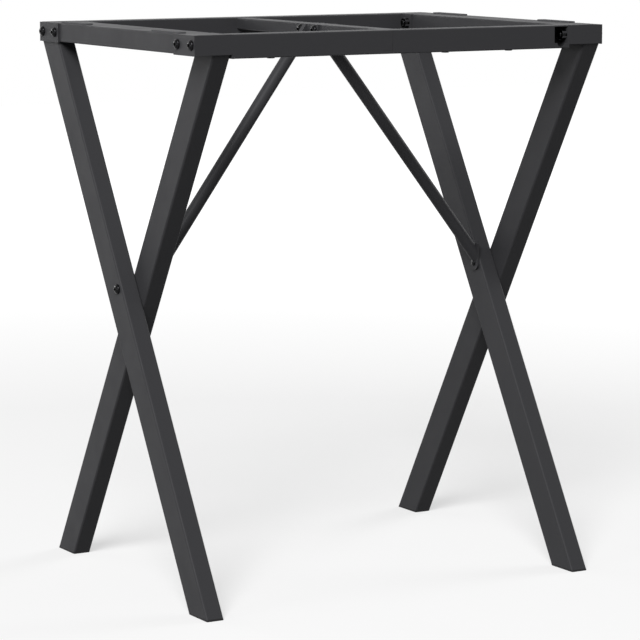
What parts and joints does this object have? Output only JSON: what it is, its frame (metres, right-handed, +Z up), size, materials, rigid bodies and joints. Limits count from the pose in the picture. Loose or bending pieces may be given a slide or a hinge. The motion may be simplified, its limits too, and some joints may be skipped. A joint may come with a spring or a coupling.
{
  "type": "x shaped table leg frame",
  "caption": "Black steel table base: two crossed-leg trestles joined by a bolted rectangular top frame, with a cross-member and two slanting braces.",
  "frame": {"origin": "on the floor, under the middle of the top frame", "axes": "+Z up, +X along the table towards the right trestle, +Y from the front rail to the back rail"},
  "size_m": [0.6164, 0.4858, 0.732],
  "materials": {
    "tube_coat": "satin black powder coat on steel tube",
    "plate_coat": "satin black powder coat on flat steel",
    "fastener_black": "smooth black zinc on steel, slightly glossy",
    "cap_plastic": "black moulded plastic",
    "pad_rubber": "black rubber"
  },
  "bodies": {
    "root": {"brace_left": "tube_coat", "brace_right": "tube_coat", "bracket_bolts": "fastener_black", "bracket_plate_left": "plate_coat", "bracket_plate_right": "plate_coat", "corner_bolts_left": "fastener_black", "corner_bolts_right": "fastener_black", "corner_plate_left_back": "plate_coat", "corner_plate_left_front": "plate_coat", "corner_plate_right_back": "plate_coat", "corner_plate_right_front": "plate_coat", "cross_member": "tube_coat", "crossing_bolts": "fastener_black", "foot_cap_left_back": "cap_plastic", "foot_cap_left_front": "cap_plastic", "foot_cap_right_back": "cap_plastic", "foot_cap_right_front": "cap_plastic", "leg_left_inner": "tube_coat", "leg_left_outer": "tube_coat", "leg_right_inner": "tube_coat", "leg_right_outer": "tube_coat", "long_rail_back": "tube_coat", "long_rail_front": "tube_coat", "side_rail_left": "tube_coat", "side_rail_right": "tube_coat", "top_pad_left_back": "pad_rubber", "top_pad_left_front": "pad_rubber", "top_pad_right_back": "pad_rubber", "top_pad_right_front": "pad_rubber", "underside_buttons_back": "cap_plastic", "underside_buttons_front": "cap_plastic"}
  },
  "joints": []
}
